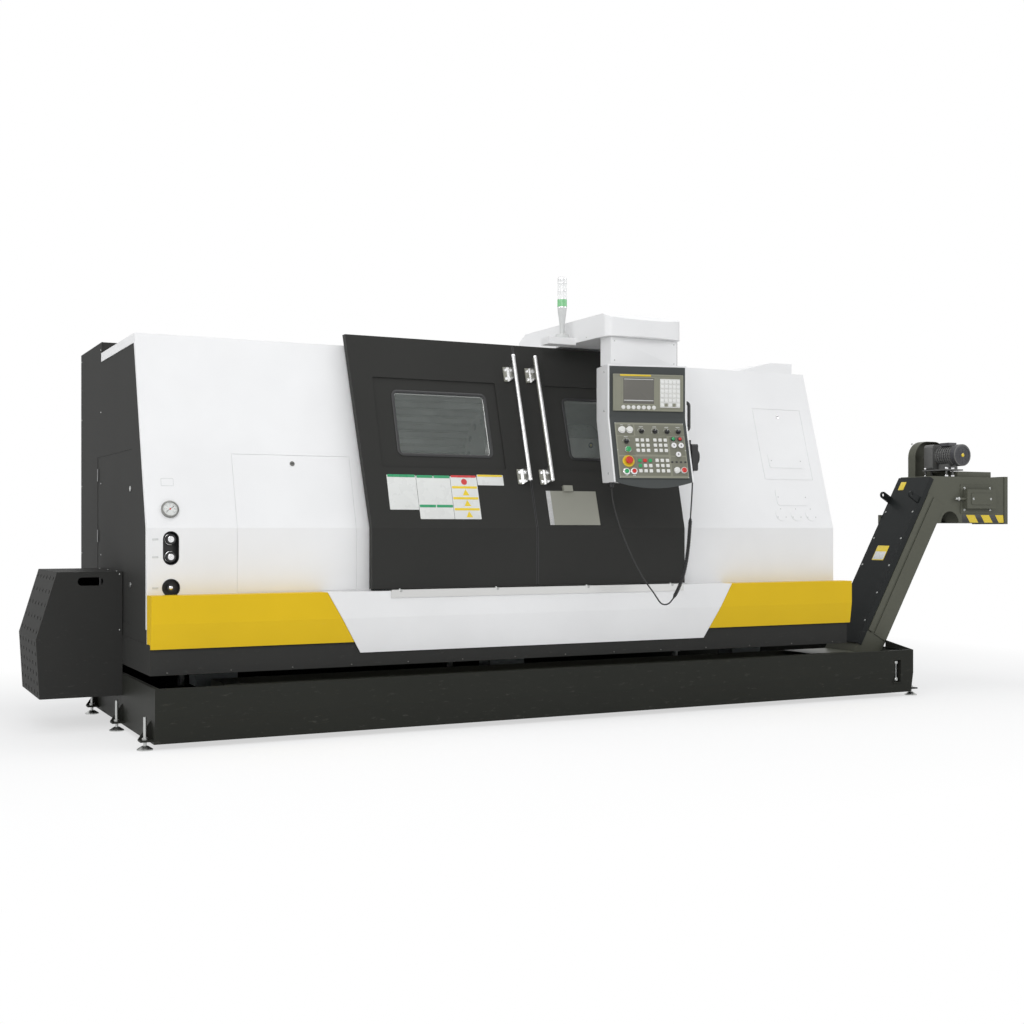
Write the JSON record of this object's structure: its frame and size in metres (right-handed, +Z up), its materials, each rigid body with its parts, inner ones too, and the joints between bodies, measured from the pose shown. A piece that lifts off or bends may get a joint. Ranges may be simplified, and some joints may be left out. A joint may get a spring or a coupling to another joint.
{
  "type": "cnc turning lathe",
  "caption": "Long slant-bed CNC turning lathe with sliding doors, hanging operator pendant, signal beacon and side chip conveyor in a coolant tank.",
  "frame": {"origin": "on the floor, under the middle of the bounding box", "axes": "+X runs from the headstock end to the chip conveyor, +Y from the doors to the back, +Z up"},
  "size_m": [6.189, 2.421, 2.47],
  "materials": {
    "white_paint": "satin sprayed sheet metal",
    "dark_paint": "fine textured dark paint",
    "door_paint": "satin dark paint",
    "conveyor_paint": "satin grey paint",
    "frame_paint": "satin dark paint",
    "apron_accent": "satin paint",
    "tank_paint": "satin paint",
    "cast_iron": "painted casting with ground ways",
    "bright_steel": "ground and brushed",
    "hard_steel": "ground steel",
    "chrome": "polished",
    "aluminium": "satin",
    "glass": "clear laminated",
    "lens": "clear and coloured lenses",
    "dark_plastic": "moulded plastic",
    "grey_plastic": "moulded plastic",
    "key_plastic": "moulded key caps",
    "red_plastic": "gloss moulded plastic",
    "green_plastic": "gloss moulded plastic",
    "black_rubber": "soft jacket",
    "galvanised": "zinc plated"
  },
  "bodies": {
    "machine": {"apron_centre": "white_paint", "apron_left": "apron_accent", "apron_right": "apron_accent", "base_frame": "frame_paint", "beacon_lens": "lens", "beacon_stem": "grey_plastic", "bed_casting": "cast_iron", "centre_canopy": "white_paint", "conveyor_body": "conveyor_paint", "conveyor_cover": "conveyor_paint", "conveyor_drive_guard": "conveyor_paint", "conveyor_motor": "aluminium", "coolant_tank": "tank_paint", "door_rail": "bright_steel", "electrical_cabinet": "dark_paint", "headstock": "cast_iron", "left_access_panel": "white_paint", "left_cabinet": "white_paint", "left_end_panel": "dark_paint", "levelling_feet": "galvanised", "motor_guard": "dark_paint", "pendant_boom": "white_paint", "pressure_gauge": "chrome", "right_access_panel": "white_paint", "right_cabinet": "white_paint", "service_knobs": "dark_plastic", "spindle_motor": "cast_iron"},
    "left_door": {"left_door": "door_paint", "left_window": "glass", "left_handle": "bright_steel"},
    "right_door": {"right_door": "door_paint", "right_window": "glass", "right_handle": "bright_steel"},
    "spindle": {"spindle_chuck": "hard_steel"},
    "jaw_1": {"chuck_jaw_1": "hard_steel"},
    "jaw_2": {"chuck_jaw_2": "hard_steel"},
    "jaw_3": {"chuck_jaw_3": "hard_steel"},
    "saddle": {"saddle": "cast_iron"},
    "cross_slide": {"cross_slide": "cast_iron"},
    "turret": {"turret_disc": "bright_steel"},
    "tailstock": {"tailstock": "cast_iron"},
    "pendant": {"pendant_housing": "white_paint", "pendant_bezel": "dark_plastic", "display_unit": "dark_plastic", "operator_keys": "key_plastic", "pendant_side_fittings": "dark_plastic", "cord_gland": "dark_plastic", "cord_upper": "black_rubber", "cord_coil": "black_rubber", "cord_lower": "black_rubber"},
    "estop": {"estop_button": "red_plastic"},
    "start": {"start_button": "green_plastic"},
    "stop": {"stop_button": "red_plastic"},
    "override_selector": {"override_selector": "dark_plastic"},
    "mode_selector": {"mode_selector": "dark_plastic"},
    "feed_selector": {"feed_selector": "dark_plastic"},
    "rapid_selector": {"rapid_selector": "dark_plastic"},
    "spindle_selector": {"spindle_selector": "dark_plastic"},
    "handwheel": {"handwheel": "dark_plastic"},
    "conveyor_shaft": {"conveyor_shaft": "hard_steel"}
  },
  "joints": [
    {"name": "left_door_slide", "type": "slide", "parent": "machine", "child": "left_door", "axis": [-1, 0, 0], "range_m": [0, 0.88]},
    {"name": "right_door_slide", "type": "slide", "parent": "machine", "child": "right_door", "axis": [1, 0, 0], "range_m": [0, 0.88]},
    {"name": "spindle_turn", "type": "hinge", "parent": "machine", "child": "spindle", "pos_m": [-1.4795, -0.27552, 1.1], "axis": [1, 0, 0], "continuous": true},
    {"name": "jaw_1_slide", "type": "slide", "parent": "spindle", "child": "jaw_1", "axis": [0, 0, 1], "range_m": [-0.015, 0.008]},
    {"name": "jaw_2_slide", "type": "slide", "parent": "spindle", "child": "jaw_2", "axis": [0, -0.866, -0.5], "range_m": [-0.015, 0.008]},
    {"name": "jaw_3_slide", "type": "slide", "parent": "spindle", "child": "jaw_3", "axis": [0, 0.866, -0.5], "range_m": [-0.015, 0.008]},
    {"name": "saddle_slide", "type": "slide", "parent": "machine", "child": "saddle", "axis": [1, 0, 0], "range_m": [-0.72, 0.05]},
    {"name": "cross_feed", "type": "slide", "parent": "saddle", "child": "cross_slide", "axis": [0, -0.7071, -0.7071], "range_m": [0, 0.27]},
    {"name": "turret_index", "type": "hinge", "parent": "cross_slide", "child": "turret", "pos_m": [-0.3145, 0.13123, 1.50675], "axis": [1, 0, 0], "continuous": true},
    {"name": "tailstock_slide", "type": "slide", "parent": "machine", "child": "tailstock", "axis": [-1, 0, 0], "range_m": [0, 0.45]},
    {"name": "pendant_swivel", "type": "hinge", "parent": "machine", "child": "pendant", "pos_m": [-0.0095, -0.91752, 1.944], "axis": [0, 0, 1], "range_deg": [-25, 35]},
    {"name": "estop_press", "type": "slide", "parent": "pendant", "child": "estop", "axis": [0.228, 0.9212, -0.3154], "range_m": [0, 0.004]},
    {"name": "start_press", "type": "slide", "parent": "pendant", "child": "start", "axis": [0.228, 0.9212, -0.3154], "range_m": [0, 0.003], "stiffness_N_per_m": 600, "springref_m": -0.001},
    {"name": "stop_press", "type": "slide", "parent": "pendant", "child": "stop", "axis": [0.228, 0.9212, -0.3154], "range_m": [0, 0.003], "stiffness_N_per_m": 600, "springref_m": -0.001},
    {"name": "override_selector_turn", "type": "hinge", "parent": "pendant", "child": "override_selector", "pos_m": [-0.18415, -1.05295, 1.51535], "axis": [-0.228, -0.9212, 0.3154], "range_deg": [-75, 75]},
    {"name": "mode_selector_turn", "type": "hinge", "parent": "pendant", "child": "mode_selector", "pos_m": [-0.09127, -1.05644, 1.57229], "axis": [-0.228, -0.9212, 0.3154], "range_deg": [-60, 60]},
    {"name": "feed_selector_turn", "type": "hinge", "parent": "pendant", "child": "feed_selector", "pos_m": [-0.01652, -1.07493, 1.57229], "axis": [-0.228, -0.9212, 0.3154], "range_deg": [-60, 60]},
    {"name": "rapid_selector_turn", "type": "hinge", "parent": "pendant", "child": "rapid_selector", "pos_m": [0.05038, -1.09182, 1.57134], "axis": [-0.228, -0.9212, 0.3154], "range_deg": [-60, 60]},
    {"name": "spindle_selector_turn", "type": "hinge", "parent": "pendant", "child": "spindle_selector", "pos_m": [0.11348, -1.10743, 1.57134], "axis": [-0.228, -0.9212, 0.3154], "range_deg": [-35, 35]},
    {"name": "handwheel_turn", "type": "hinge", "parent": "pendant", "child": "handwheel", "pos_m": [0.20979, -1.13661, 1.438], "axis": [0.9707, -0.2402, 0], "continuous": true},
    {"name": "conveyor_shaft_turn", "type": "hinge", "parent": "machine", "child": "conveyor_shaft", "pos_m": [2.8225, -0.48552, 1.243], "axis": [0, 1, 0], "continuous": true}
  ],
  "couplings": [
    {"joint": "jaw_2_slide", "follows": "jaw_1_slide", "ratio": 1},
    {"joint": "jaw_3_slide", "follows": "jaw_1_slide", "ratio": 1}
  ]
}
